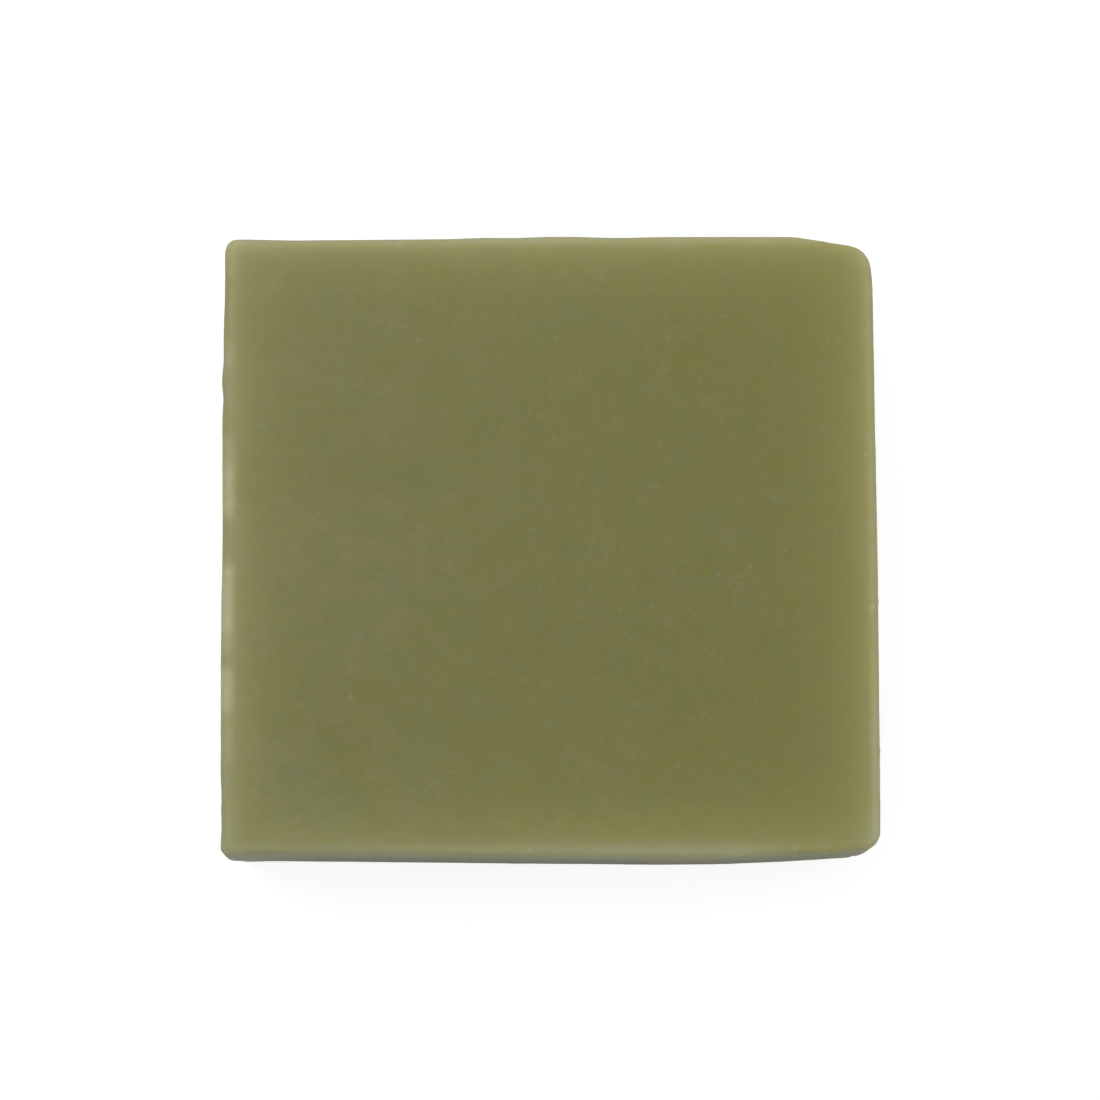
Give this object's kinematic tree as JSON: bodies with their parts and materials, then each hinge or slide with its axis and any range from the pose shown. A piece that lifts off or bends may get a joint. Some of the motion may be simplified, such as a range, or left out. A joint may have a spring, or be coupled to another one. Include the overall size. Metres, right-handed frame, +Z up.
{
  "type": "shaving soap puck",
  "caption": "Squarish slab of cured shaving soap with softened edges and corners, wetted and rubbed with a brush to make lather.",
  "frame": {"origin": "Middle of the outline's bounding box, on the large face that the puck rests on.", "axes": "+X runs along the longer sides, +Y from the bowed front side to the back side, and +Z up through the thickness, out of the upper large face."},
  "size_m": [0.07, 0.0668, 0.025],
  "materials": {
    "soap": "satin"
  },
  "bodies": {
    "root": {"soap_puck": "soap"}
  },
  "joints": []
}
